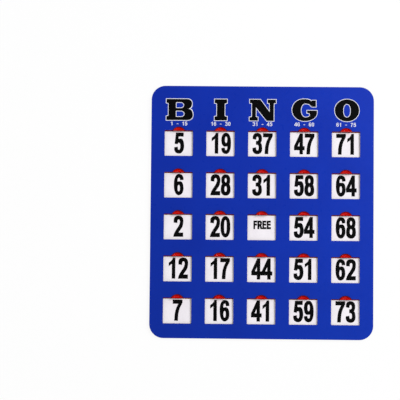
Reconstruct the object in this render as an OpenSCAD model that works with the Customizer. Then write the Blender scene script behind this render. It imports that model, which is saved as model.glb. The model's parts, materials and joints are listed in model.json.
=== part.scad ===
// Shutter-slide bingo card: laminated pasteboard with a grid of windows and a sliding shutter behind each.
// Origin at the middle of the back face, +X across the card, +Y from its foot to its head, +Z out of its face.

/* [Card] */
// Width of the card
card_w = 190.5; // [182:0.5:220]
// Height of the card, from foot to head
card_h = 215.9; // [212:0.5:250]
// Radius of the card's corners
corner_r = 12; // [3:0.5:16]

/* [Windows] */
// Distance from one window to the next, across and down
pitch = 35.8; // [33:0.1:36.8]
// Width of a window
window_w = 24.2; // [20:0.1:28]
// Height of a window, without its thumb notch
window_h = 22; // [18:0.1:24]
// Radius of a window's corners
window_r = 0.5; // [0.2:0.1:3]
// Foot edge of the card to the lowest windows
foot_margin = 12.5; // [9:0.5:16]
// Least board left between the card's edge and the channels inside it
rim = 3; // [2:0.5:4]
// Rounding where a thumb notch runs into its window
notch_blend_r = 1.2; // [0.2:0.1:1.8]

/* [Plies] */
// Thickness of the printed face sheet
face_sheet_t = 0.15; // [0.1:0.05:0.4]
// Thickness of the face board
face_board_t = 0.75; // [0.5:0.05:1.5]
// Thickness of the number sheet
number_sheet_t = 0.3; // [0.2:0.05:0.5]
// Thickness of the back board
back_board_t = 0.8; // [0.5:0.05:2]
// Width of the slit between two rows of the number sheet
slit_w = 0.6; // [0.2:0.1:1.5]
// Board left between a thumb notch and the slit behind it
slit_margin = 2.95; // [1:0.05:4]

/* [Shutters] */
// Thickness of a shutter's plate
shutter_t = 0.4; // [0.3:0.05:0.7]
// Radius of a shutter's corners
shutter_r = 1.2; // [0.2:0.1:4]
// How far a shutter reaches under the face on each side of its window
side_lap = 0.9; // [0.4:0.1:2]
// How far a closed shutter still reaches under the row above
head_lap = 1; // [0.4:0.1:3]
// Lip of the shutter in front of its thumb tab
lip = 0.4; // [0.2:0.1:2]
// Radius of the thumb tab's round side
tab_r = 5.7; // [4:0.1:6.5]
// Middle of the thumb tab's round side to its straight front
tab_front = 2.8; // [0.4:0.1:3.4]
// Height of an open thumb tab above the face
tab_proud = 2; // [1:0.1:4]
// Rounding of the thumb tab's crown
tab_crown_r = 1.2; // [0.3:0.1:2.4]
// How far an open thumb tab shows below its notch, in the window
tab_show = 0.55; // [0:0.05:1]

/* [Clearances] */
// Gap on each face of a shutter's plate
slide_gap = 0.08; // [0.05:0.01:0.2]
// Gap on each side of a shutter's plate
side_gap = 0.3; // [0.15:0.05:0.6]
// Gap between a shutter's head edge and the end of its channel
end_gap = 0.5; // [0.2:0.1:1.5]
// Gap round an open thumb tab in its notch
tab_gap = 0.7; // [0.2:0.05:1]
// Gap between a closed thumb tab and the foot of its window
stop_gap = 0.3; // [0.1:0.05:0.8]

/* [Hidden] */
$fn = 64;

// Overrun of every cut past the faces it opens
overrun = 1;
// Fullness of the rounding at a notch's mouth
blend_share = 1.03;

// The number sheet is slit between its rows, and each row is tilted like a roof tile, so that a shutter
// lies in front of its own row and slips behind the row above. A row reaches past its window at both ends.
row_step = shutter_t + number_sheet_t + 2 * slide_gap;
tilt = asin(row_step / pitch);
notch_h = tab_r + tab_gap - tab_front - tab_show;
row_head = notch_h + slit_margin;
row_tail = min(pitch - window_h - row_head, foot_margin - rim) - slit_w;
row_l = row_head + window_h + row_tail;

// Places along a tilted row, measured from its middle towards the head
window_head_s = row_l / 2 - row_head;
window_foot_s = window_head_s - window_h;
open_edge_s = window_head_s - tab_show - lip;
closed_edge_s = window_foot_s + stop_gap - lip;
travel = open_edge_s - closed_edge_s;
row_above_s = pitch * cos(tilt) - row_l / 2;
shutter_l = row_above_s + head_lap - closed_edge_s;
open_head_s = open_edge_s + shutter_l;

// Sizes of a shutter and of the channel that it runs in
shutter_w = window_w + 2 * side_lap;
channel_w = shutter_w + 2 * side_gap;
plate_n = number_sheet_t / 2 + slide_gap;

// The number sheet's openings are narrower than the channel, so that its rows join it at their sides
opening_share = 0.4;
row_share = 0.8;
opening_w = shutter_w + 2 * opening_share * side_gap;
row_w = shutter_w + 2 * row_share * side_gap;

// Room in front of and behind the middle of the number sheet
row_end_depth = number_sheet_t / 2 * cos(tilt) + row_l / 2 * sin(tilt);
front_depth = slide_gap + max(row_end_depth, (plate_n + shutter_t) * cos(tilt) - closed_edge_s * sin(tilt));
rear_depth = slide_gap + max(row_end_depth, open_head_s * sin(tilt) - plate_n * cos(tilt));
front_spacer_t = front_depth - number_sheet_t / 2;
rear_spacer_t = rear_depth - number_sheet_t / 2;

// Levels of the plies, from the back face up
rear_spacer_z = back_board_t;
number_sheet_z = rear_spacer_z + rear_spacer_t;
number_middle_z = number_sheet_z + number_sheet_t / 2;
front_spacer_z = number_sheet_z + number_sheet_t;
face_board_z = front_spacer_z + front_spacer_t;
face_sheet_z = face_board_z + face_board_t;
face_z = face_sheet_z + face_sheet_t;

// Height of the thumb tab above its plate, which brings the open tab's crown to its height above the face
open_tab_s = open_edge_s + lip - tab_front;
tab_h = (face_z + tab_proud - number_middle_z + open_tab_s * sin(tilt)) / cos(tilt) - plate_n - shutter_t;

// The card holds as many windows as it has room for, at most one column for each letter and as many rows
column_letters = "bingo";
channel_reach = open_head_s * cos(tilt) + end_gap;
column_room = card_w - 2 * rim - channel_w;
row_room = card_h - rim - foot_margin + window_foot_s - channel_reach;
columns = min(len(column_letters), 1 + floor(column_room / pitch));
rows = min(len(column_letters), 1 + floor(row_room / pitch));
function shutter_name(column, row) = str("shutter_", column_letters[column], row + 1);

// Places of the windows and of the tilted rows on the card; row 0 is the one nearest the head
function column_x(column) = (column - (columns - 1) / 2) * pitch;
function window_foot_y(row) = -card_h / 2 + foot_margin + (rows - 1 - row) * pitch;
function row_y(row) = window_foot_y(row) - window_foot_s;
channel_foot_y = window_foot_y(rows - 1) - row_tail - slit_w;
channel_head_y = row_y(0) + channel_reach;

// Colours of the pieces
board_colour = [0.56, 0.46, 0.41];
paper_colour = [0.95, 0.93, 0.95];
face_colour = [0.09, 0.19, 0.65];
shutter_colour = [0.80, 0.06, 0.04];

module rounded_rectangle(w, h, r) {
    square([w - 2 * r, h], center = true);
    square([w, h - 2 * r], center = true);
    for (x = [-1, 1], y = [-1, 1])
        translate([x * (w / 2 - r), y * (h / 2 - r)])
            circle(r);
}

module card_outline() {
    rounded_rectangle(card_w, card_h, corner_r);
}

// One side of a thumb notch's mouth, rounded into the window's head edge, which lies on the X axis.
// The rounding is a little fuller than one that touches the notch and the edge, so that it cuts both cleanly.
module notch_blend(notch_r, middle_y) {
    blend_x = sqrt(pow(notch_r + notch_blend_r, 2) - pow(notch_blend_r - middle_y, 2));
    difference() {
        polygon([[0, middle_y], [blend_x, middle_y], [blend_x, notch_blend_r]]);
        translate([blend_x, notch_blend_r])
            circle(notch_blend_r * blend_share);
    }
}

// A window and its thumb notch; the origin is at the middle of the window's head edge
module window_opening() {
    notch_r = tab_r + tab_gap;
    middle_y = -tab_show - tab_front;
    translate([0, -window_h / 2])
        rounded_rectangle(window_w, window_h, window_r);
    translate([0, middle_y])
        circle(notch_r);
    for (side = [0, 1])
        mirror([side, 0])
            notch_blend(notch_r, middle_y);
}

// A face ply: the card's outline with every window cut out
module windowed_ply(t) {
    linear_extrude(t)
        difference() {
            card_outline();
            for (column = [0:columns - 1], row = [0:rows - 1])
                translate([column_x(column), window_foot_y(row) + window_h])
                    window_opening();
        }
}

// An inner ply: the card's outline with one long channel, as wide as w, for each column of shutters
module channelled_ply(t, w) {
    linear_extrude(t)
        difference() {
            card_outline();
            for (column = [0:columns - 1])
                translate([column_x(column) - w / 2, channel_foot_y])
                    square([w, channel_head_y - channel_foot_y]);
        }
}

// Moves a piece from a row's own tilted frame to its place on the card
module on_row(column, row) {
    translate([column_x(column), row_y(row), number_middle_z])
        rotate([-tilt, 0, 0])
            children();
}

// One tilted row of the number sheet
module number_row() {
    translate([-row_w / 2, -row_l / 2, -number_sheet_t / 2])
        cube([row_w, row_l, number_sheet_t]);
}

// The blank flap above the top row, which ends with the channel
module head_flap(column) {
    intersection() {
        on_row(column, -1)
            number_row();
        translate([column_x(column) - channel_w, row_y(0), 0])
            cube([2 * channel_w, channel_reach, face_z]);
    }
}

// A shutter's flat plate; the origin is at the middle of its foot edge
module shutter_plate() {
    translate([0, shutter_l / 2, 0])
        linear_extrude(shutter_t)
            rounded_rectangle(shutter_w, shutter_l, shutter_r);
}

// Half of the section of the round thumb tab, on the tab's axis
module tab_section() {
    height = tab_h + shutter_t / 2;
    square([tab_r - tab_crown_r, height]);
    square([tab_r, height - tab_crown_r]);
    translate([tab_r - tab_crown_r, height - tab_crown_r])
        circle(tab_crown_r);
}

// The thumb tab: a round boss, cut off straight on the side of the lip
module thumb_tab() {
    translate([0, lip - tab_front, shutter_t / 2])
        difference() {
            rotate_extrude()
                tab_section();
            translate([-tab_r - overrun, tab_front - 2 * tab_r, -overrun])
                cube([2 * (tab_r + overrun), 2 * tab_r, tab_h + shutter_t + 2 * overrun]);
        }
}

module back_board() {
    color(board_colour)
        linear_extrude(back_board_t)
            card_outline();
}

module rear_spacer() {
    color(board_colour)
        translate([0, 0, rear_spacer_z])
            channelled_ply(rear_spacer_t, channel_w);
}

module number_sheet() {
    color(paper_colour) {
        translate([0, 0, number_sheet_z])
            channelled_ply(number_sheet_t, opening_w);
        for (column = [0:columns - 1]) {
            head_flap(column);
            for (row = [0:rows - 1])
                on_row(column, row)
                    number_row();
        }
    }
}

module front_spacer() {
    color(board_colour)
        translate([0, 0, front_spacer_z])
            channelled_ply(front_spacer_t, channel_w);
}

module face_board() {
    color(board_colour)
        translate([0, 0, face_board_z])
            windowed_ply(face_board_t);
}

module face_sheet() {
    color(face_colour)
        translate([0, 0, face_sheet_z])
            windowed_ply(face_sheet_t);
}

module shutter(column, row) {
    color(shutter_colour)
        on_row(column, row)
            translate([0, open_edge_s, plate_n]) {
                shutter_plate();
                thumb_tab();
            }
}

echo(tilt = tilt, travel = travel, face_z = face_z, number_middle_z = number_middle_z);

back_board();
rear_spacer();
number_sheet();
front_spacer();
face_board();
face_sheet();
for (column = [0:columns - 1], row = [0:rows - 1])
    shutter(column, row);
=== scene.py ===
import json
import math

import bmesh
import bpy
from mathutils import Matrix, Vector


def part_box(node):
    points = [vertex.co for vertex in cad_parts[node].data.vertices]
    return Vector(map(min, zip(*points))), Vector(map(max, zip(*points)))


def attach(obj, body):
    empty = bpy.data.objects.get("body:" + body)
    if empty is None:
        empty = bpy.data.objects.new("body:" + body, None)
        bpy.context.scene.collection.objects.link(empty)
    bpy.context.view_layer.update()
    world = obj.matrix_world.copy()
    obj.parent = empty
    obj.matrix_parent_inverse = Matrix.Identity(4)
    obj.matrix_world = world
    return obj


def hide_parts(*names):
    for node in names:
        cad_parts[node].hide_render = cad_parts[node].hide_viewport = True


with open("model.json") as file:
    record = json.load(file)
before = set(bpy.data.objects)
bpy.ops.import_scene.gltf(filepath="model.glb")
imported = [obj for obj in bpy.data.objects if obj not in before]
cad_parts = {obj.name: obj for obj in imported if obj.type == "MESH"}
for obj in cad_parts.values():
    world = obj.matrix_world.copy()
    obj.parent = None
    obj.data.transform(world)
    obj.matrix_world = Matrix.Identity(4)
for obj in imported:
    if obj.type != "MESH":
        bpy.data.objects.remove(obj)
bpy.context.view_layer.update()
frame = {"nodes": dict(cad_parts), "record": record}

MM = 0.001

# Sizes of the card in millimetres, as its solids have them
COLUMNS = "bingo"
ROWS = 5
PITCH = 35.8
FOOT_MARGIN = 12.5
WINDOW_H = 22.0
WINDOW_FOOT_TO_ROW_MIDDLE = 10.4
CORNER_R = 12.0
NUMBER_SHEET_T = 0.3

# Sizes of a shutter in millimetres, in the frame of its own row
SHUTTER_W = 26.0
SHUTTER_L = 29.69
SHUTTER_T = 0.4
SHUTTER_CORNER_R = 1.2
SHUTTER_EDGE_R = 0.12
SHUTTER_OPEN_EDGE = 10.65
SHUTTER_LEVEL = 0.23
LIP = 0.4
TAB_R = 5.7
TAB_FRONT = 2.8
TAB_CORNER_R = 0.55
TAB_CROWN_H = 0.5
TAB_CROWN_SHARE = 0.06
TAB_DISH = 1.5
TAB_DISH_SHARE = 0.12
TAB_CROWN_PLACE = 0.64
TAB_STEPS = 5
TAB_SIDES = 56
RIM_ANGLE = 1.2
SHARP_ANGLE = 38

# Points of an outline or of a print nearer to each other than this are one, in millimetres
POINT_GAP = 0.001
PRINT_GAP = 0.0005

# Print: thickness of the ink and how far it soaks into the paper, in millimetres
INK_T = 0.02
INK_SOAK = 0.006
NUMBER_FOOT = 2.5
NUMBER_H = 17.95
NUMBER_CELL = 8.85
NUMBER_ASIDE = 0.38
FREE_FOOT = 9.6
LETTER_FOOT = 186.6
LETTER_EDGE = 0.7
RANGE_FOOT = 181.8
RANGE_H = 3.3
RANGE_CELL = 2.45
RANGE_SWELL = -0.15
DIGIT_H = 17.5
DIGIT_W = 8.75
DIGIT_SWELL = 0.28
FREE_SWELL = 0.2
LETTER_SWELL = 0.2
DIGIT_FULLNESS = 0.58
LETTER_FULLNESS = 0.56

# Studio: lengths in metres, power in watts
FLOOR_R = 6.0
FLOOR_DROP = 0.0001
WALL_H = 2.2
WHITE_SHARE = 0.9
LAMP_PLACE = (0.9, 0.45, 1.4)
LAMP_SIZE = 0.9
LAMP_POWER = 19.6
AIR_STRENGTH = 0.53

# View: lens and picture in pixels, the middle window's place before the lens in millimetres, turns in degrees
FOCAL_PX = 1000
PICTURE_PX = 400
VIEW_PLACE = (52.72, -23.3, -853.9)
VIEW_ROLL = -0.542
VIEW_NOD = -2.069
VIEW_TURN = -0.721

NUMBERS = (
    ("5", "19", "37", "47", "71"),
    ("6", "28", "31", "58", "64"),
    ("2", "20", "", "54", "68"),
    ("12", "17", "44", "51", "62"),
    ("7", "16", "41", "59", "73"),
)
RANGES = ("1 - 15", "16 - 30", "31 - 45", "46 - 60", "61 - 75")

# Outlines of the print in millimetres, the outer one anticlockwise and then its holes.
# A corner is x, y and the shares of the edges before and after it that its rounding takes up.
DIGITS = {
    "0": (
        ((0.5, -0.25, 0.43, 0.5), (8.35, -0.25, 0.5, 0.43), (8.35, 17.75, 0.43, 0.5),
         (0.5, 17.75, 0.5, 0.43)),
        ((3.1, 2.6, 0.5, 0.35), (3.1, 14.9, 0.35, 0.5), (5.75, 14.9, 0.5, 0.35), (5.75, 2.6, 0.35, 0.5)),
    ),
    "1": (
        ((3.8, 0), (6.3, 0), (6.3, 17.6), (4.6, 17.6), (3.7, 15.1, 0.6, 0.4), (1.15, 13.3), (1.15, 10.9),
         (3.8, 13.1, 0.2, 0)),
    ),
    "2": (
        ((0.4, 0), (8.3, 0), (8.3, 3.1), (4.1, 3.1), (8.36, 9.4, 0.3, 0.45), (8.36, 17.75, 0.5, 0.5),
         (0.6, 17.75, 0.5, 0.6), (0.6, 12.2), (3.15, 11.9), (3.15, 14.95, 0.7, 0.5), (5.95, 14.95, 0.5, 0.5),
         (5.95, 10.6, 0.5, 0.3), (0.75, 2.7, 0.35, 0.7)),
    ),
    "3": (
        ((0.4, 4.75), (0.4, -0.25, 0.7, 0.5), (8.2, -0.25, 0.5, 0.5), (8.2, 8.4, 0.5, 0.8), (6.5, 9.45),
         (7.95, 10.4, 0.8, 0.45), (7.95, 17.75, 0.55, 0.5), (0.55, 17.75, 0.5, 0.7), (0.55, 12.9),
         (3.0, 12.4), (3.0, 14.95, 0.7, 0.5), (5.5, 14.95, 0.5, 0.5), (5.5, 10.75, 0.5, 0.5),
         (3.35, 10.75), (3.35, 8.0), (5.7, 8.0, 0.5, 0.5), (5.7, 2.55, 0.5, 0.5), (2.95, 2.55, 0.5, 0.7),
         (2.95, 5.2)),
    ),
    "4": (
        ((4.9, 0), (7.3, 0), (7.3, 3.5), (8.75, 3.5), (8.75, 6.5), (7.3, 6.5), (7.3, 17.6), (5.15, 17.6),
         (0.15, 6.6), (0.15, 3.5), (4.9, 3.5)),
        ((4.9, 6.5), (2.6, 6.5), (4.9, 11.6)),
    ),
    "5": (
        ((0.4, 4.8), (0.4, -0.25, 0.7, 0.5), (8.35, -0.25, 0.5, 0.5), (8.35, 12.3, 0.5, 0.55),
         (3.9, 12.3, 0.35, 0.6), (3.3, 11.3), (3.65, 14.55), (7.85, 14.55), (7.85, 17.5), (1.8, 17.5),
         (0.7, 8.2), (2.85, 7.85), (3.3, 9.2, 0.6, 0.45), (5.6, 9.2, 0.55, 0.5), (5.6, 2.55, 0.5, 0.5),
         (2.95, 2.55, 0.5, 0.7), (2.95, 5.15)),
    ),
    "6": (
        ((8.1, 13.05), (8.1, 17.75, 0.8, 0.5), (0.4, 17.75, 0.5, 0.45), (0.4, -0.25, 0.45, 0.5),
         (8.2, -0.25, 0.5, 0.5), (8.2, 11.35, 0.5, 0.55), (3.7, 11.35, 0.45, 0.7), (3.05, 9.9),
         (3.05, 14.95, 0.6, 0.5), (5.65, 14.95, 0.5, 0.7), (5.65, 12.75)),
        ((3.1, 2.55, 0.5, 0.45), (3.1, 8.75, 0.45, 0.5), (5.6, 8.75, 0.5, 0.45), (5.6, 2.55, 0.45, 0.5)),
    ),
    "7": (
        ((1.95, 0), (4.55, 0), (4.95, 8.6, 0.5, 0.5), (8.3, 15.2, 0.05, 0.2), (8.3, 17.5), (0.5, 17.5),
         (0.5, 14.5), (5.35, 14.5, 0, 0.06), (2.4, 8.2, 0.5, 0.5)),
    ),
    "8": (
        ((0.4, -0.25, 0.5, 0.5), (8.3, -0.25, 0.5, 0.5), (8.3, 8.6, 0.5, 0.8), (6.85, 9.4),
         (7.95, 10.2, 0.8, 0.45), (7.95, 17.75, 0.55, 0.5), (0.8, 17.75, 0.5, 0.55),
         (0.8, 10.2, 0.45, 0.8), (1.85, 9.4), (0.4, 8.6, 0.8, 0.5)),
        ((3.05, 2.55, 0.5, 0.5), (3.05, 8.0, 0.5, 0.5), (5.65, 8.0, 0.5, 0.5), (5.65, 2.55, 0.5, 0.5)),
        ((3.2, 10.7, 0.5, 0.5), (3.2, 14.95, 0.5, 0.5), (5.5, 14.95, 0.5, 0.5), (5.5, 10.7, 0.5, 0.5)),
    ),
    "-": (
        ((1.6, 6.0), (7.2, 6.0), (7.2, 8.9), (1.6, 8.9)),
    ),
}
DIGITS["9"] = tuple(
    tuple((DIGIT_W - corner[0], DIGIT_H - corner[1], *corner[2:]) for corner in outline)
    for outline in DIGITS["6"]
)

FREE_LETTERS = {
    "F": (
        ((0.2, 0), (1.3, 0), (1.3, 3.05), (2.95, 3.05), (2.95, 4.3), (1.3, 4.3), (1.3, 5.6), (3.1, 5.6),
         (3.1, 6.9), (0.2, 6.9)),
    ),
    "R": (
        ((0, 0), (1.25, 0), (1.25, 2.9), (1.6, 2.9, 0.2, 0.1), (2.6, 0), (3.95, 0), (2.8, 3.1),
         (3.5, 3.5, 0.8, 0.5), (3.5, 6.9, 0.5, 0.4), (0, 6.9)),
        ((1.25, 4.05), (1.25, 5.7), (2.35, 5.7, 0.4, 0.5), (2.35, 4.05, 0.5, 0.4)),
    ),
    "E": (
        ((0, 0), (3.15, 0), (3.15, 1.4), (1.05, 1.4), (1.05, 3.1), (2.95, 3.1), (2.95, 4.35), (1.05, 4.35),
         (1.05, 5.6), (3.05, 5.6), (3.05, 6.9), (0, 6.9)),
    ),
}
FREE_STEPS = (("F", 0.0), ("R", 3.65), ("E", 7.85), ("E", 11.65))
FREE_W = 14.9

COLUMN_LETTERS = {
    "b": (
        ((0, 0), (22.4, 0, 0.2, 0.5), (22.4, 8.4, 0.5, 0.7), (18.0, 9.6), (21.6, 11.0, 0.7, 0.45),
         (21.6, 17.8, 0.55, 0.18), (0, 17.8), (0, 14.8), (1.8, 14.6, 0.3, 0.05), (1.8, 3.2, 0.05, 0.3),
         (0, 3.0)),
        ((7.75, 2.35, 0.06, 0.06), (7.75, 8.05, 0.06, 0.06), (15.55, 8.05, 0.42, 0.5),
         (15.55, 2.35, 0.5, 0.42)),
        ((7.75, 9.95, 0.06, 0.06), (7.75, 15.4, 0.06, 0.06), (15.15, 15.4, 0.42, 0.5),
         (15.15, 9.95, 0.5, 0.42)),
    ),
    "i": (
        ((0, 0), (10.3, 0), (10.3, 2.9), (8.3, 3.1, 0.6, 0.06), (8.3, 14.7, 0.06, 0.6), (10.3, 14.9),
         (10.3, 17.8), (0, 17.8), (0, 14.9), (2.0, 14.7, 0.6, 0.06), (2.0, 3.1, 0.06, 0.6), (0, 2.9)),
    ),
    "n": (
        ((0, 0), (6.8, 0), (6.8, 2.6), (5.1, 2.85, 0.3, 0.05), (5.1, 11.8), (14.7, -0.15), (20.4, -0.15),
         (20.4, 15.0, 0.03, 0.3), (22.2, 15.2), (22.2, 17.8), (15.5, 17.8), (15.5, 15.2),
         (17.25, 15.0, 0.3, 0.03), (17.25, 6.75), (9.0, 17.8), (0.2, 17.8), (0.2, 15.2),
         (2.05, 15.0, 0.3, 0.03), (2.05, 2.85, 0.03, 0.3), (0, 2.6)),
    ),
    "g": (
        ((20.9, 8.7), (12.8, 8.7), (12.8, 6.9), (15.3, 6.7, 0.5, 0.3), (15.3, 2.8, 0.6, 0.5),
         (7.1, 2.8, 0.5, 0.5), (7.1, 15.0, 0.5, 0.5), (14.2, 15.0, 0.4, 0.4), (16.6, 12.3), (19.95, 12.3),
         (19.95, 17.4), (16.9, 17.4), (16.0, 16.6), (14.4, 18.5, 0.5, 0.3), (0, 18.5, 0.65, 0.5),
         (0, -0.05, 0.5, 0.5), (20.9, -0.05, 0.5, 0.75)),
    ),
    "o": (
        ((0, -0.05, 0.5, 0.5), (20.5, -0.05, 0.5, 0.5), (20.5, 18.6, 0.5, 0.5), (0, 18.6, 0.5, 0.5)),
        ((6.9, 2.95, 0.5, 0.42), (6.9, 15.0, 0.42, 0.5), (13.6, 15.0, 0.5, 0.42), (13.6, 2.95, 0.42, 0.5)),
    ),
}
COLUMN_LETTER_X = {"b": -82.3, "i": -40.95, "n": -11.0, "g": 25.5, "o": 62.0}

# Places that the solids give
face_low, face_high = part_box("face_sheet")
spacer_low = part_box("front_spacer")[0]
card_foot_y = face_low.y
face_z = face_high.z
number_middle_z = spacer_low.z - NUMBER_SHEET_T / 2 * MM
slide_axis = frame["record"]["behaviour"]["joints"][0]["axis"]
row_tilt = math.atan2(slide_axis[2], -slide_axis[1])
open_tab_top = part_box("shutter_b1")[1].z
plate_top_z = number_middle_z + (SHUTTER_LEVEL + SHUTTER_T - SHUTTER_OPEN_EDGE * math.sin(row_tilt)) * MM


def column_x(column):
    return (column - (len(COLUMNS) - 1) / 2) * PITCH * MM


def window_foot_y(row):
    return card_foot_y + (FOOT_MARGIN + (ROWS - 1 - row) * PITCH) * MM


def row_place(column, row):
    middle_y = window_foot_y(row) + WINDOW_FOOT_TO_ROW_MIDDLE * MM
    middle = Matrix.Translation((column_x(column), middle_y, number_middle_z))
    return middle @ Matrix.Rotation(-row_tilt, 4, "X")


def srgb(red, green, blue):
    """A colour read from a screen, from 0 to 255, as the linear colour that a shader takes."""
    shares = (red / 255, green / 255, blue / 255)
    linear = [s / 12.92 if s <= 0.04045 else ((s + 0.055) / 1.055) ** 2.4 for s in shares]
    return (*linear, 1.0)


def add_node(tree, kind, inputs=(), **settings):
    node = tree.nodes.new(kind)
    for name, value in settings.items():
        setattr(node, name, value)
    for socket, value in dict(inputs).items():
        if isinstance(value, bpy.types.NodeSocket):
            tree.links.new(value, node.inputs[socket])
        else:
            node.inputs[socket].default_value = value
    return node


def new_finish(name):
    """A material with its shader and the object coordinates that its patterns follow."""
    finish = bpy.data.materials.new(name)
    finish.use_nodes = True
    tree = finish.node_tree
    shader = tree.nodes["Principled BSDF"]
    place = add_node(tree, "ShaderNodeTexCoord").outputs["Object"]
    return finish, tree, shader, place


def speckle(tree, place, size, detail=2.0, stretch=(1, 1, 1)):
    """Noise whose grains are about the given size in millimetres, longer where the stretch is larger."""
    scale = [1 / (size * MM * along) for along in stretch]
    mapped = add_node(tree, "ShaderNodeMapping", {"Vector": place, "Scale": scale})
    noise = add_node(tree, "ShaderNodeTexNoise", {
        "Vector": mapped.outputs[0], "Scale": 1.0, "Detail": detail})
    return noise.outputs["Fac"]


def shades(tree, share, *stops):
    """A colour ramp through the given places and colours."""
    ramp = add_node(tree, "ShaderNodeValToRGB", {"Fac": share})
    elements = ramp.color_ramp.elements
    while len(elements) < len(stops):
        elements.new(0.5)
    for element, (position, colour) in zip(elements, stops):
        element.position = position
        element.color = colour
    return ramp.outputs["Color"]


def span(tree, value, low, high, out_low, out_high):
    ranged = add_node(tree, "ShaderNodeMapRange", {
        "Value": value, "From Min": low, "From Max": high, "To Min": out_low, "To Max": out_high})
    return ranged.outputs["Result"]


def tint(tree, share, colour, other, way="MIX"):
    """Lays one colour over another, by a share from 0 to 1."""
    mix = tree.nodes.new("ShaderNodeMix")
    mix.data_type = "RGBA"
    mix.blend_type = way
    for socket, value in ((mix.inputs[0], share), (mix.inputs[6], colour), (mix.inputs[7], other)):
        if isinstance(value, bpy.types.NodeSocket):
            tree.links.new(value, socket)
        else:
            socket.default_value = value
    return mix.outputs[2]


def relief(tree, shader, height, depth, strength=1.0):
    """Bump of the given depth in millimetres."""
    bump = add_node(tree, "ShaderNodeBump", {
        "Height": height, "Distance": depth * MM, "Strength": strength})
    tree.links.new(bump.outputs["Normal"], shader.inputs["Normal"])


def edge_distance(tree, place):
    """How far a point lies inside the card's rounded outline, as a negative length."""
    inner = (face_high.x - CORNER_R * MM, face_high.y - CORNER_R * MM, 1.0)
    away = add_node(tree, "ShaderNodeVectorMath", {0: place}, operation="ABSOLUTE").outputs[0]
    past = add_node(tree, "ShaderNodeVectorMath", {0: away, 1: inner}, operation="SUBTRACT").outputs[0]
    corner = add_node(tree, "ShaderNodeVectorMath", {0: past, 1: (0, 0, 0)}, operation="MAXIMUM").outputs[0]
    reach = add_node(tree, "ShaderNodeVectorMath", {0: corner}, operation="LENGTH").outputs["Value"]
    return add_node(tree, "ShaderNodeMath", {0: reach, 1: CORNER_R * MM}, operation="SUBTRACT").outputs[0]


def face_print():
    """Blue printed paper, uneven across the card, with painted shade that darkens it towards the left side
    and dims its blue towards the foot; pale where it is cut and faintly rubbed along the rim.
    """
    finish, tree, shader, place = new_finish("face_print")
    cloud = speckle(tree, place, 45, 3)
    fleck = speckle(tree, place, 0.4, 3)
    blue = shades(tree, cloud, (0.3, srgb(14, 49, 175)), (0.7, srgb(15, 53, 183)))
    dots = shades(tree, fleck, (0.3, srgb(247, 247, 250)), (0.7, srgb(255, 255, 255)))
    blue = tint(tree, 0.5, blue, dots, "MULTIPLY")
    along = add_node(tree, "ShaderNodeSeparateXYZ", {0: place}).outputs
    # Painted shade: the blue darkens towards the card's left side, standing in for the lamp's fall-off across
    # the card.
    painted_light_falloff = span(tree, along["X"], face_low.x, face_high.x, 0, 1)
    painted_light_falloff = shades(tree, painted_light_falloff, (0, srgb(230, 226, 230)), (1, srgb(255, 255, 255)))
    blue = tint(tree, 1.0, blue, painted_light_falloff, "MULTIPLY")
    # Painted shade: the blue channel dims a little towards the card's foot, standing in for light falling off
    # from the head.
    painted_foot_shade = span(tree, along["Y"], face_low.y, face_high.y, 0, 1)
    painted_foot_shade = shades(tree, painted_foot_shade, (0, srgb(255, 255, 244)), (1, srgb(255, 255, 255)))
    blue = tint(tree, 1.0, blue, painted_foot_shade, "MULTIPLY")
    rub = speckle(tree, place, 0.7, 4)
    rim = span(tree, edge_distance(tree, place), -0.15 * MM, 0, 0, 0.4)
    worn = add_node(tree, "ShaderNodeMath", {0: rim, 1: rub}, operation="MULTIPLY").outputs[0]
    blue = tint(tree, worn, blue, srgb(120, 138, 205))
    top = span(tree, along["Z"], face_z - 0.04 * MM, face_z - 0.02 * MM, 0, 1)
    core = shades(tree, fleck, (0.3, srgb(128, 130, 176)), (0.7, srgb(176, 178, 208)))
    tree.links.new(tint(tree, top, core, blue), shader.inputs["Base Color"])
    tree.links.new(span(tree, speckle(tree, place, 4, 3), 0.3, 0.7, 0.26, 0.38), shader.inputs["Roughness"])
    shader.inputs["Specular IOR Level"].default_value = 0.07
    relief(tree, shader, speckle(tree, place, 0.5, 3), 0.004, 0.3)
    return finish


def pasteboard():
    """Grey-brown board with fibres; its cut edges show the pasted layers, darker between them."""
    finish, tree, shader, place = new_finish("pasteboard")
    layers = speckle(tree, place, 0.11, 3, (60, 60, 1))
    fibres = speckle(tree, place, 0.22, 4, (5, 1.5, 1))
    clumps = speckle(tree, place, 5, 3)
    board = shades(
        tree, layers, (0.28, srgb(104, 80, 72)), (0.46, srgb(138, 112, 101)), (0.72, srgb(166, 140, 128)))
    plain = shades(tree, clumps, (0.3, srgb(138, 113, 102)), (0.7, srgb(148, 122, 111)))
    normal = add_node(tree, "ShaderNodeTexCoord").outputs["Normal"]
    level = add_node(tree, "ShaderNodeSeparateXYZ", {0: normal}).outputs["Z"]
    level = add_node(tree, "ShaderNodeMath", {0: level}, operation="ABSOLUTE").outputs[0]
    board = tint(tree, span(tree, level, 0.5, 0.9, 0, 1), board, plain)
    fleck = shades(tree, fibres, (0.32, srgb(150, 140, 135)), (0.6, srgb(255, 255, 255)))
    board = tint(tree, 0.7, board, fleck, "MULTIPLY")
    cloud = shades(tree, clumps, (0.3, srgb(222, 218, 214)), (0.7, srgb(255, 255, 255)))
    board = tint(tree, 0.8, board, cloud, "MULTIPLY")
    tree.links.new(board, shader.inputs["Base Color"])
    tree.links.new(span(tree, fibres, 0.3, 0.7, 0.82, 0.95), shader.inputs["Roughness"])
    shader.inputs["Specular IOR Level"].default_value = 0.2
    relief(tree, shader, fibres, 0.05, 0.6)
    return finish


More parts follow.
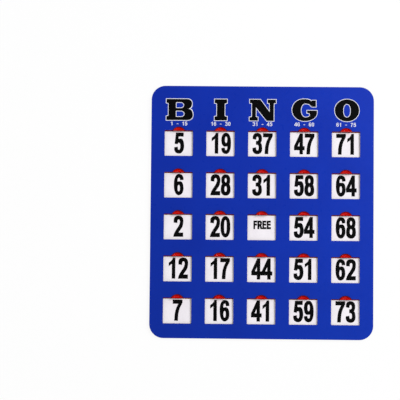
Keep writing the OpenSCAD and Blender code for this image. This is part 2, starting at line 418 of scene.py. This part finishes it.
def number_paper():
    """Smooth off-white paper with a faint fibre."""
    finish, tree, shader, place = new_finish("number_paper")
    fibres = speckle(tree, place, 0.25, 4, (4, 1, 1))
    clouds = speckle(tree, place, 9, 3)
    paper = shades(tree, clouds, (0.3, srgb(240, 235, 241)), (0.7, srgb(247, 243, 248)))
    fleck = shades(tree, fibres, (0.25, srgb(242, 239, 238)), (0.5, srgb(255, 255, 255)))
    tree.links.new(tint(tree, 0.6, paper, fleck, "MULTIPLY"), shader.inputs["Base Color"])
    tree.links.new(span(tree, clouds, 0.3, 0.7, 0.55, 0.7), shader.inputs["Roughness"])
    shader.inputs["Specular IOR Level"].default_value = 0.2
    relief(tree, shader, fibres, 0.015, 0.5)
    return finish


def shutter_plastic():
    """Glossy red plastic with faint flow marks and rubbed spots; painted shade makes the plate and the foot
    of the tab a darker red than the raised tab.
    """
    finish, tree, shader, place = new_finish("shutter_plastic")
    flow = speckle(tree, place, 1.4, 3, (1, 3, 1))
    scuffs = speckle(tree, place, 0.3, 4, (1, 6, 1))
    # Painted shade: the plate and the tab's foot, which lie recessed under the face, take a darker red than
    # the raised tab, by height.
    raised_red = shades(tree, flow, (0.3, srgb(184, 6, 2)), (0.7, srgb(204, 12, 6)))
    painted_shade_red = shades(tree, flow, (0.3, srgb(108, 4, 3)), (0.7, srgb(126, 6, 4)))
    height = add_node(tree, "ShaderNodeSeparateXYZ", {0: place}).outputs["Z"]
    rise = span(tree, height, plate_top_z + 0.1 * MM, plate_top_z + 0.9 * MM, 0, 1)
    tree.links.new(tint(tree, rise, painted_shade_red, raised_red), shader.inputs["Base Color"])
    tree.links.new(span(tree, scuffs, 0.35, 0.75, 0.1, 0.22), shader.inputs["Roughness"])
    shader.inputs["Specular IOR Level"].default_value = 0.22
    shader.inputs["Coat Weight"].default_value = 0.06
    shader.inputs["Coat Roughness"].default_value = 0.08
    relief(tree, shader, scuffs, 0.008, 0.4)
    return finish


def printing_ink(name, dark, light, gloss_low, gloss_high):
    """A thin film of ink, slightly uneven where the paper takes it."""
    finish, tree, shader, place = new_finish(name)
    film = speckle(tree, place, 1.2, 4)
    tree.links.new(shades(tree, film, (0.3, dark), (0.7, light)), shader.inputs["Base Color"])
    tree.links.new(span(tree, film, 0.3, 0.7, gloss_low, gloss_high), shader.inputs["Roughness"])
    shader.inputs["Specular IOR Level"].default_value = 0.03
    relief(tree, shader, speckle(tree, place, 0.3, 3), 0.003, 0.3)
    return finish


def add_piece(name, mesh, body, finish):
    piece = bpy.data.objects.new(name, mesh)
    bpy.context.scene.collection.objects.link(piece)
    mesh.materials.clear()
    mesh.materials.append(finish)
    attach(piece, body)
    return piece


def rounded_outline(corners, fullness):
    """Points of a closed curve, each with the handles before and after it, or None where it is straight."""
    points = []
    for index, corner in enumerate(corners):
        x, y, before, after = (*corner, 0, 0)[:4]
        here = Vector((x, y, 0))
        last = Vector((*corners[index - 1][:2], 0))
        following = Vector((*corners[(index + 1) % len(corners)][:2], 0))
        if before == 0 and after == 0:
            points.append([here, None, None])
            continue
        start = here.lerp(last, before)
        end = here.lerp(following, after)
        points.append([start, None, start.lerp(here, fullness)])
        points.append([end, end.lerp(here, fullness), None])
    joined = []
    for point in points:
        if joined and (joined[-1][0] - point[0]).length < POINT_GAP:
            joined[-1][2] = point[2]
        else:
            joined.append(point)
    if (joined[-1][0] - joined[0][0]).length < POINT_GAP:
        joined[0][1] = joined.pop()[1]
    return joined


def grown(corners, width):
    """The same outline moved outwards by a width: the edge that is printed round a letter."""
    moved = []
    for index, corner in enumerate(corners):
        here = Vector(corner[:2])
        before = (here - Vector(corners[index - 1][:2])).normalized()
        after = (Vector(corners[(index + 1) % len(corners)][:2]) - here).normalized()
        out = Vector((before.y + after.y, -before.x - after.x))
        place = here + out * width / (1 + before.dot(after))
        moved.append((place.x, place.y, *corner[2:]))
    return tuple(moved)


def stamp(name, outlines, fullness, thickness):
    """A flat printed shape with the thickness of its ink, in millimetres."""
    curve = bpy.data.curves.new(name, "CURVE")
    curve.dimensions = "2D"
    curve.fill_mode = "BOTH"
    curve.extrude = thickness / 2
    curve.resolution_u = 7
    for outline in outlines:
        points = rounded_outline(outline, fullness)
        spline = curve.splines.new("BEZIER")
        spline.bezier_points.add(len(points) - 1)
        spline.use_cyclic_u = True
        for point, (place, handle_in, handle_out) in zip(spline.bezier_points, points):
            point.co = place
            point.handle_left_type = "VECTOR" if handle_in is None else "FREE"
            point.handle_right_type = "VECTOR" if handle_out is None else "FREE"
            if handle_in is not None:
                point.handle_left = handle_in
            if handle_out is not None:
                point.handle_right = handle_out
    drawing = bpy.data.objects.new(name, curve)
    bpy.context.scene.collection.objects.link(drawing)
    bpy.context.view_layer.update()
    mesh = bpy.data.meshes.new_from_object(drawing.evaluated_get(bpy.context.evaluated_depsgraph_get()))
    bpy.data.objects.remove(drawing)
    bpy.data.curves.remove(curve)
    return mesh


def stamps(alphabet, swell):
    """The stamps of all the characters of an alphabet, each grown by the same width."""
    return {
        character: stamp(
            "character", [grown(outline, swell) for outline in outlines], DIGIT_FULLNESS, INK_T)
        for character, outlines in alphabet.items()
    }


def print_shapes(name, shapes, place, finish):
    """One printed piece: stamped shapes, each with its own place, laid on the paper at the given place."""
    ink = bmesh.new()
    for mesh, move in shapes:
        ink.verts.ensure_lookup_table()
        before = len(ink.verts)
        ink.from_mesh(mesh)
        ink.verts.ensure_lookup_table()
        bmesh.ops.transform(ink, matrix=move, verts=ink.verts[before:])
    bmesh.ops.remove_doubles(ink, verts=ink.verts, dist=PRINT_GAP)
    bmesh.ops.recalc_face_normals(ink, faces=ink.faces)
    bmesh.ops.transform(ink, matrix=place @ Matrix.Scale(MM, 4), verts=ink.verts)
    printed = bpy.data.meshes.new(name)
    ink.to_mesh(printed)
    ink.free()
    return add_piece(name, printed, "card", finish)


def digit_line(text, digit_stamps, swell, cell, height):
    """Stamped digits side by side, centred on the line."""
    wide = cell / NUMBER_CELL
    tall = height / (DIGIT_H + 2 * swell)
    start = -cell * len(text) / 2
    stretch = Matrix.Diagonal((wide, tall, 1, 1))
    return [
        (digit_stamps[digit], Matrix.Translation((start + index * cell, 0, 0)) @ stretch)
        for index, digit in enumerate(text)
        if digit != " "
    ]


def print_number(column, row, finish):
    """The number on one panel of the number sheet, or the word on the free one."""
    level = NUMBER_SHEET_T / 2 + INK_T / 2 - INK_SOAK
    letter = COLUMNS[column]
    text = NUMBERS[row][column]
    if text:
        foot = NUMBER_FOOT - WINDOW_FOOT_TO_ROW_MIDDLE
        shapes = digit_line(text, number_stamps, DIGIT_SWELL, NUMBER_CELL, NUMBER_H)
    else:
        foot = FREE_FOOT - WINDOW_FOOT_TO_ROW_MIDDLE
        shapes = [(free_stamps[key], Matrix.Translation((x - FREE_W / 2, 0, 0))) for key, x in FREE_STEPS]
    place = row_place(column, row) @ Matrix.Translation((NUMBER_ASIDE * MM, foot * MM, level * MM))
    print_shapes(f"number_{letter}{row + 1}", shapes, place, finish)


def print_heading(column, ink, edge):
    """A column's letter with its pale edge, and the range of its numbers."""
    letter = COLUMNS[column]
    outlines = COLUMN_LETTERS[letter]
    letter_place = Matrix.Translation(
        (COLUMN_LETTER_X[letter] * MM, card_foot_y + LETTER_FOOT * MM, face_z))
    edge_outlines = [grown(outline, LETTER_EDGE) for outline in outlines]
    letter_outlines = [grown(outline, LETTER_SWELL) for outline in outlines]
    edge_stamp = stamp("edge", edge_outlines, LETTER_FULLNESS, INK_T)
    letter_stamp = stamp("letter", letter_outlines, LETTER_FULLNESS, INK_T)
    low = Matrix.Translation((0, 0, INK_T / 2 - INK_SOAK))
    high = Matrix.Translation((0, 0, INK_T - INK_SOAK))
    print_shapes(f"letter_edge_{letter}", [(edge_stamp, low)], letter_place, edge)
    print_shapes(f"letter_{letter}", [(letter_stamp, high)], letter_place, ink)
    range_place = Matrix.Translation((column_x(column), card_foot_y + RANGE_FOOT * MM, face_z))
    digits = digit_line(RANGES[column], range_stamps, RANGE_SWELL, RANGE_CELL, RANGE_H)
    shapes = [(mesh, low @ move) for mesh, move in digits]
    print_shapes(f"range_{letter}", shapes, range_place, edge)


def shutter_mesh(tab_h):
    """One shutter in millimetres, from its lip: a thin plate with soft edges and a half-moon thumb tab."""
    shutter = bmesh.new()
    tab_middle = Vector((0, LIP - TAB_FRONT, SHUTTER_T))
    bmesh.ops.create_circle(
        shutter, cap_ends=True, segments=TAB_SIDES, radius=TAB_R, matrix=Matrix.Translation(tab_middle))
    bmesh.ops.bisect_plane(
        shutter, geom=shutter.verts[:] + shutter.edges[:] + shutter.faces[:], plane_co=(0, LIP, SHUTTER_T),
        plane_no=(0, -1, 0), clear_outer=True)
    front = [v for v in shutter.verts if abs(v.co.y - LIP) < POINT_GAP]
    bmesh.ops.bevel(
        shutter, geom=front, affect="VERTICES", offset=TAB_CORNER_R, offset_type="OFFSET", segments=4,
        profile=0.5, material=-1)
    tab = shutter.faces[:][0]
    tab_rim = tab.edges[:]
    half_w = SHUTTER_W / 2
    corners = [
        shutter.verts.new((x, y, SHUTTER_T))
        for x, y in ((-half_w, 0), (half_w, 0), (half_w, SHUTTER_L), (-half_w, SHUTTER_L))
    ]
    shutter.faces.new(corners)
    bmesh.ops.bevel(
        shutter, geom=corners, affect="VERTICES", offset=SHUTTER_CORNER_R, offset_type="OFFSET", segments=6,
        profile=0.5, material=-1)
    plate = [face for face in shutter.faces if face is not tab][0]
    plate_rim = plate.edges[:]
    bmesh.ops.delete(shutter, geom=[plate], context="FACES_ONLY")
    bmesh.ops.triangle_fill(shutter, edges=plate_rim + tab_rim, use_beauty=True)
    lowered = bmesh.ops.extrude_edge_only(shutter, edges=plate_rim)["geom"]
    under_rim = [part for part in lowered if isinstance(part, bmesh.types.BMEdge)]
    under = [part for part in lowered if isinstance(part, bmesh.types.BMVert)]
    bmesh.ops.translate(shutter, vec=(0, 0, -SHUTTER_T), verts=under)
    bmesh.ops.contextual_create(shutter, geom=under_rim)
    crown = Vector((0, tab_middle.y + TAB_FRONT + TAB_CROWN_PLACE * (TAB_R - TAB_FRONT), 0))
    wall_h = tab_h - TAB_CROWN_H
    rim_spread = 1 - TAB_CROWN_SHARE
    rise_before = 0
    spread_before = 1
    rises = [(wall_h, 1)]
    for step in range(1, TAB_STEPS + 1):
        turn = math.radians(90 * step / TAB_STEPS)
        rises.append((wall_h + TAB_CROWN_H * math.sin(turn), rim_spread + TAB_CROWN_SHARE * math.cos(turn)))
    for step in range(1, TAB_STEPS + 1):
        inward = step / TAB_STEPS
        spread = rim_spread + (TAB_DISH_SHARE - rim_spread) * inward
        rises.append((tab_h - TAB_DISH * (1 - (1 - inward) ** 2), spread))
    for rise, spread in rises:
        covered = tab
        raised = bmesh.ops.extrude_face_region(shutter, geom=[covered])["geom"]
        tab = [part for part in raised if isinstance(part, bmesh.types.BMFace)][0]
        bmesh.ops.delete(shutter, geom=[covered], context="FACES_ONLY")
        bmesh.ops.translate(shutter, vec=(0, 0, rise - rise_before), verts=tab.verts)
        bmesh.ops.scale(
            shutter, vec=(spread / spread_before, spread / spread_before, 1), verts=tab.verts,
            space=Matrix.Translation(-crown))
        rise_before = rise
        spread_before = spread
    rims = [
        edge for edge in shutter.edges
        if edge.is_manifold and edge.calc_face_angle(0) > RIM_ANGLE and is_plate_rim(edge)
    ]
    bmesh.ops.bevel(
        shutter, geom=rims, affect="EDGES", offset=SHUTTER_EDGE_R, offset_type="OFFSET", segments=2,
        profile=0.5, material=-1)
    bmesh.ops.recalc_face_normals(shutter, faces=shutter.faces)
    for face in shutter.faces:
        face.smooth = True
    mesh = bpy.data.meshes.new("shutter")
    shutter.to_mesh(mesh)
    shutter.free()
    mesh.set_sharp_from_angle(angle=math.radians(SHARP_ANGLE))
    return mesh


def is_plate_rim(edge):
    """Whether an edge runs round the outside of a shutter's plate."""
    inside_x = SHUTTER_W / 2 - SHUTTER_CORNER_R
    return all(
        abs(v.co.x) > inside_x or v.co.y < POINT_GAP or v.co.y > SHUTTER_L - SHUTTER_CORNER_R
        for v in edge.verts
    )


def add_shutter(column, row, mesh, finish):
    name = f"shutter_{COLUMNS[column]}{row + 1}"
    place = row_place(column, row) @ Matrix.Translation((0, SHUTTER_OPEN_EDGE * MM, SHUTTER_LEVEL * MM))
    own_mesh = mesh.copy()
    own_mesh.name = name
    own_mesh.transform(place @ Matrix.Scale(MM, 4))
    piece = add_piece(f"{name}_moulding", own_mesh, name, finish)
    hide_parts(name)


def repaint(node, finish):
    for index in range(len(frame["nodes"][node].material_slots)):
        frame["nodes"][node].material_slots[index].material = finish


def add_lamp(name, place, size, power):
    """A square soft light that faces the card."""
    light = bpy.data.lights.new(name, "AREA")
    light.shape = "SQUARE"
    light.size = size
    light.energy = power
    lamp = bpy.data.objects.new(name, light)
    bpy.context.scene.collection.objects.link(lamp)
    lamp.location = place
    lamp.rotation_euler = (-Vector(place)).to_track_quat("-Z", "Y").to_euler()


def studio_white():
    """Pale paint that takes the card's shadow and is seen white."""
    finish = bpy.data.materials.new("studio_white")
    finish.use_nodes = True
    tree = finish.node_tree
    tree.nodes.clear()
    rays = add_node(tree, "ShaderNodeLightPath").outputs
    seen = rays["Is Camera Ray"]
    for ray in ("Is Glossy Ray", "Is Transmission Ray"):
        seen = add_node(tree, "ShaderNodeMath", {0: seen, 1: rays[ray]}, operation="ADD").outputs[0]
    share = add_node(
        tree, "ShaderNodeMath", {0: seen, 1: WHITE_SHARE}, operation="MULTIPLY", use_clamp=True)
    paint = add_node(tree, "ShaderNodeBsdfDiffuse", {"Color": (0.96, 0.96, 0.96, 1)})
    glow = add_node(tree, "ShaderNodeEmission", {"Color": (1, 1, 1, 1), "Strength": 1.0})
    mix = add_node(tree, "ShaderNodeMixShader", {
        0: share.outputs[0], 1: paint.outputs[0], 2: glow.outputs[0]})
    add_node(tree, "ShaderNodeOutputMaterial", {"Surface": mix.outputs[0]})
    return finish


def add_studio():
    """A round pale floor with a low wall round it, one soft lamp, and even light from the air."""
    sweep = bmesh.new()
    ground = Matrix.Translation((0, 0, -FLOOR_DROP))
    bmesh.ops.create_circle(sweep, cap_ends=True, segments=96, radius=FLOOR_R, matrix=ground)
    wall = bmesh.ops.extrude_edge_only(sweep, edges=sweep.edges[:])["geom"]
    wall_head = [part for part in wall if isinstance(part, bmesh.types.BMVert)]
    bmesh.ops.translate(sweep, vec=(0, 0, WALL_H), verts=wall_head)
    mesh = bpy.data.meshes.new("studio_sweep")
    sweep.to_mesh(mesh)
    sweep.free()
    mesh.materials.append(studio_white())
    floor = bpy.data.objects.new("studio_sweep", mesh)
    bpy.context.scene.collection.objects.link(floor)
    add_lamp("key_lamp", LAMP_PLACE, LAMP_SIZE, LAMP_POWER)
    world = bpy.data.worlds.new("studio_air")
    world.use_nodes = True
    air = world.node_tree.nodes["Background"]
    air.inputs["Color"].default_value = (1, 1, 1, 1)
    air.inputs["Strength"].default_value = AIR_STRENGTH
    bpy.context.scene.world = world
    bpy.context.scene.view_settings.view_transform = "Standard"


def add_camera():
    """The photograph's view: the card's middle window lies right of and below the picture's middle."""
    view = bpy.data.cameras.new("view")
    view.sensor_width = 36
    view.lens = view.sensor_width * FOCAL_PX / PICTURE_PX
    view.clip_start = 0.01
    view.clip_end = 50
    camera = bpy.data.objects.new("view", view)
    bpy.context.scene.collection.objects.link(camera)
    middle = Vector((0, window_foot_y(2) + WINDOW_H / 2 * MM, face_z))
    card_in_view = (
        Matrix.Translation(Vector(VIEW_PLACE) * MM)
        @ Matrix.Rotation(math.radians(VIEW_ROLL), 4, "Z")
        @ Matrix.Rotation(math.radians(VIEW_NOD), 4, "X")
        @ Matrix.Rotation(math.radians(VIEW_TURN), 4, "Y")
    )
    camera.matrix_world = Matrix.Translation(middle) @ card_in_view.inverted()
    bpy.context.scene.camera = camera


add_camera()
add_studio()

board = pasteboard()
for node in ("back_board", "rear_spacer", "front_spacer", "face_board"):
    repaint(node, board)
repaint("number_sheet", number_paper())
repaint("face_sheet", face_print())

black_ink = printing_ink("black_ink", srgb(3, 3, 4), srgb(8, 8, 9), 0.34, 0.5)
pale_ink = printing_ink("pale_ink", srgb(222, 222, 232), srgb(238, 238, 244), 0.4, 0.55)
number_stamps = stamps(DIGITS, DIGIT_SWELL)
range_stamps = stamps(DIGITS, RANGE_SWELL)
free_stamps = stamps(FREE_LETTERS, FREE_SWELL)

plastic = shutter_plastic()
moulding = shutter_mesh((open_tab_top - plate_top_z) / MM / math.cos(row_tilt))
for column_index in range(len(COLUMNS)):
    print_heading(column_index, black_ink, pale_ink)
    for row_index in range(ROWS):
        print_number(column_index, row_index, black_ink)
        add_shutter(column_index, row_index, moulding, plastic)
